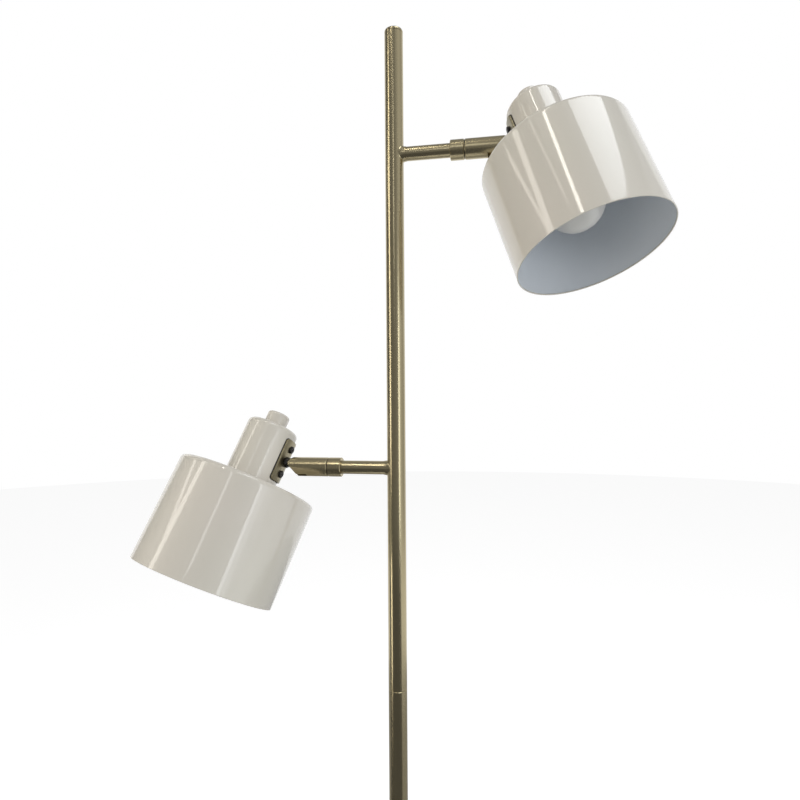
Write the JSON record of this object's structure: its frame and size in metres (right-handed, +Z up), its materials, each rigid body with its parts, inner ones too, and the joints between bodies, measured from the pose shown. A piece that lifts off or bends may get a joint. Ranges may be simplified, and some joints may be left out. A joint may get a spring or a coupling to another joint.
{
  "type": "floor lamp",
  "caption": "Brass pole floor lamp with short side arms, each carrying an enamelled cylinder spot head that swivels and tilts, with a globe bulb and a switch knob.",
  "frame": {"origin": "centre of the felt pad's underside, on the floor, on the pole's axis", "axes": "+Z up along the pole; +X along the upper arm, -X along the lower arm; +Y towards the cord gland at the back"},
  "size_m": [0.5247, 0.263, 1.52],
  "materials": {
    "antique_brass": "antique brushed brass, satin clear lacquer",
    "lacquered_sheet": "pearl ivory enamel, gloss",
    "knob_plastic": "cream gloss",
    "frosted_glass": "frosted white",
    "black_plastic": "moulded black",
    "black_metal": "black oxide",
    "black_gasket": "matt black",
    "plated_steel": "zinc plated",
    "contact_brass": "plain brass",
    "iron": "cast",
    "felt": "black felt"
  },
  "bodies": {
    "stand": {"base_cover": "antique_brass", "base_felt_pad": "felt", "base_weight": "iron", "cord_gland": "black_plastic", "foot_collar": "antique_brass", "foot_nut": "plated_steel", "foot_stud": "plated_steel", "lower_coupler": "plated_steel", "pole_bottom_section": "antique_brass", "pole_cap": "antique_brass", "pole_middle_section": "antique_brass", "pole_top_section": "antique_brass", "upper_coupler": "plated_steel", "upper_arm_anchor": "plated_steel", "upper_arm_collar": "antique_brass", "upper_arm_saddle": "antique_brass", "upper_arm_tube": "antique_brass", "upper_spindle_nut": "plated_steel", "upper_swivel_ring": "black_plastic", "lower_arm_anchor": "plated_steel", "lower_arm_collar": "antique_brass", "lower_arm_saddle": "antique_brass", "lower_arm_tube": "antique_brass", "lower_spindle_nut": "plated_steel", "lower_swivel_ring": "black_plastic"},
    "upper_joint_head": {"upper_knuckle": "antique_brass", "upper_tilt_screw": "black_metal", "upper_friction_rings": "plated_steel"},
    "upper_spot_head": {"upper_bulb_cap": "plated_steel", "upper_bulb_glass": "frosted_glass", "upper_gasket": "black_gasket", "upper_hinge_nuts": "black_metal", "upper_lampholder": "black_plastic", "upper_neck": "lacquered_sheet", "upper_plate": "antique_brass", "upper_plate_screws": "black_metal", "upper_shade": "lacquered_sheet", "upper_shade_ring": "black_plastic", "upper_socket_contacts": "contact_brass", "upper_switch_body": "black_plastic", "upper_tongue": "plated_steel"},
    "upper_switch_knob": {"upper_knob": "knob_plastic"},
    "lower_joint_head": {"lower_knuckle": "antique_brass", "lower_tilt_screw": "black_metal", "lower_friction_rings": "plated_steel"},
    "lower_spot_head": {"lower_bulb_cap": "plated_steel", "lower_bulb_glass": "frosted_glass", "lower_gasket": "black_gasket", "lower_hinge_nuts": "black_metal", "lower_lampholder": "black_plastic", "lower_neck": "lacquered_sheet", "lower_plate": "antique_brass", "lower_plate_screws": "black_metal", "lower_shade": "lacquered_sheet", "lower_shade_ring": "black_plastic", "lower_socket_contacts": "contact_brass", "lower_switch_body": "black_plastic", "lower_tongue": "plated_steel"},
    "lower_switch_knob": {"lower_knob": "knob_plastic"}
  },
  "joints": [
    {"name": "upper_swivel", "type": "hinge", "parent": "stand", "child": "upper_joint_head", "pos_m": [0.072, 0, 1.392], "axis": [1, 0, 0], "range_deg": [-143.6, 176.4]},
    {"name": "upper_tilt", "type": "hinge", "parent": "upper_joint_head", "child": "upper_spot_head", "pos_m": [0.1051, 0, 1.392], "axis": [0, -0.9593, 0.2823], "range_deg": [-37.8, 72.2]},
    {"name": "upper_knob_turn", "type": "hinge", "parent": "upper_spot_head", "child": "upper_switch_knob", "pos_m": [0.13881, 0.01284, 1.43563], "axis": [-0.3057, 0.2688, 0.9134], "continuous": true},
    {"name": "lower_swivel", "type": "hinge", "parent": "stand", "child": "lower_joint_head", "pos_m": [-0.072, 0, 1.071], "axis": [-1, 0, 0], "range_deg": [-182.3, 137.7]},
    {"name": "lower_tilt", "type": "hinge", "parent": "lower_joint_head", "child": "lower_spot_head", "pos_m": [-0.1051, 0, 1.071], "axis": [0, 0.9252, -0.3795], "range_deg": [-37.2, 72.8]},
    {"name": "lower_knob_turn", "type": "hinge", "parent": "lower_spot_head", "child": "lower_switch_knob", "pos_m": [-0.13928, 0.01712, 1.11275], "axis": [0.2957, 0.3625, 0.8838], "continuous": true}
  ]
}
